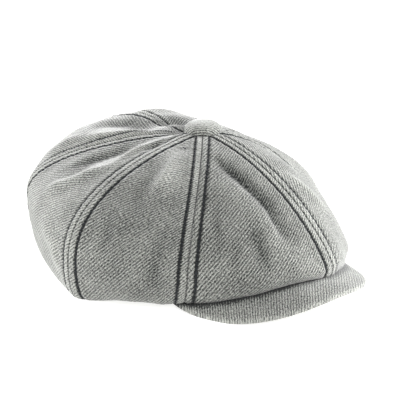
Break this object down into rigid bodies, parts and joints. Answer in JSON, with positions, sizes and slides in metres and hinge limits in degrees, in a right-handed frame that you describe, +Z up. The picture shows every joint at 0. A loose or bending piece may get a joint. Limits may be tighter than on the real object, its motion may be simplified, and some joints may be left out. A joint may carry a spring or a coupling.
{
  "type": "eight-panel cloth cap",
  "caption": "Soft full cloth cap of seamed wedge panels that meet under a covered button, with a short arched peak and an open head hollow.",
  "frame": {"origin": "middle of the bounding box in X and Y, on the surface the cap rests on", "axes": "+Z up, the peak towards -Y, the wearer's right side towards -X"},
  "size_m": [0.252, 0.2924, 0.1118],
  "materials": {
    "twill": "coarse washed grey denim twill",
    "band_cloth": "plain woven band"
  },
  "bodies": {
    "root": {"panel_front_right": "twill", "panel_side_front_right": "twill", "panel_side_back_right": "twill", "panel_back_right": "twill", "panel_back_left": "twill", "panel_side_back_left": "twill", "panel_side_front_left": "twill", "panel_front_left": "twill", "peak": "twill", "button": "twill", "headband": "band_cloth"}
  },
  "joints": []
}
